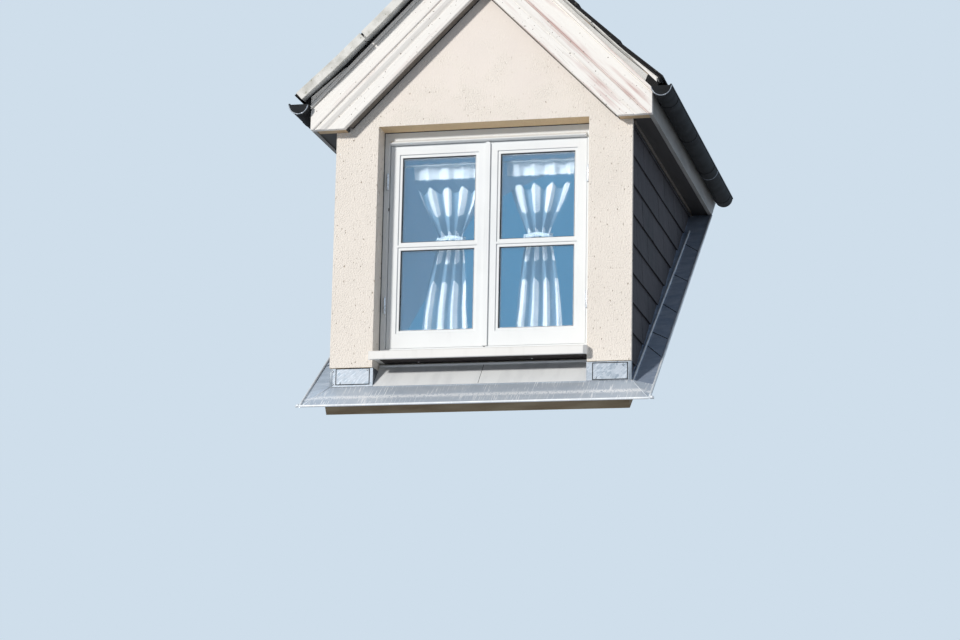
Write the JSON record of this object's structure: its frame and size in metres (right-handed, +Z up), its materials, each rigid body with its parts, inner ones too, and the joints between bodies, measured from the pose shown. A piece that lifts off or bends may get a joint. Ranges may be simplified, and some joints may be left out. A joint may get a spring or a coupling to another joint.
{
  "type": "gabled dormer window, cut off on the slope of the main roof",
  "caption": "Small gabled dormer with a rendered front, white double casement window, slate roof and cheeks, and zinc flashings on a sloping seat.",
  "frame": {"origin": "middle of the sloping seat's front timber, under the middle of the front wall's outer face", "axes": "+X to the right seen from outside, +Y into the roof, +Z up; the front faces -Y"},
  "size_m": [1.646, 3.1736, 2.2062],
  "materials": {
    "timber": "sawn",
    "render": "roughcast, matt",
    "slate": "natural, matt",
    "plaster": "painted, matt",
    "zinc": "weathered zinc, satin",
    "dark_zinc": "dark patinated zinc, satin",
    "white_timber": "painted, satin",
    "grey_timber": "painted, matt",
    "cement_board": "weathered, matt",
    "white_plastic": "satin",
    "white_metal": "satin",
    "glass": "clear, polished",
    "curtain": "sheer woven"
  },
  "bodies": {
    "root": {"sole_trimmer": "timber", "sole_plate_left": "timber", "sole_plate_right": "timber", "front_wall": "render", "cheek_wall_left": "timber", "cheek_wall_right": "timber", "cheek_slates_left": "slate", "cheek_slates_right": "slate", "lining_left": "plaster", "lining_right": "plaster", "lay_board_left": "timber", "lay_board_right": "timber", "ridge_board": "timber", "rafters_left": "timber", "rafters_right": "timber", "roof_deck_left": "timber", "roof_deck_right": "timber", "roof_slates_left": "slate", "roof_slates_right": "slate", "ridge_cap": "zinc", "valley_flashing_left": "zinc", "valley_flashing_right": "zinc", "bargeboard_left": "white_timber", "bargeboard_right": "white_timber", "verge_soffit_left": "grey_timber", "verge_soffit_right": "grey_timber", "undercloak_left": "cement_board", "undercloak_right": "cement_board", "fascia_left": "grey_timber", "fascia_right": "grey_timber", "soffit_left": "grey_timber", "soffit_right": "grey_timber", "gutter_left": "dark_zinc", "gutter_right": "dark_zinc", "window_frame": "white_plastic", "sash_left": "white_plastic", "sash_right": "white_plastic", "glass_left": "glass", "glass_right": "glass", "meeting_bead": "white_plastic", "weather_bar": "white_plastic", "hinges": "white_metal", "window_sill": "white_plastic", "under_sill_panel": "zinc", "corner_plate_left": "zinc", "corner_plate_right": "zinc", "apron_flashing": "zinc", "side_flashing_left": "zinc", "side_flashing_right": "zinc", "curtain_rods": "white_metal", "curtain_left": "curtain", "curtain_right": "curtain"}
  },
  "joints": []
}
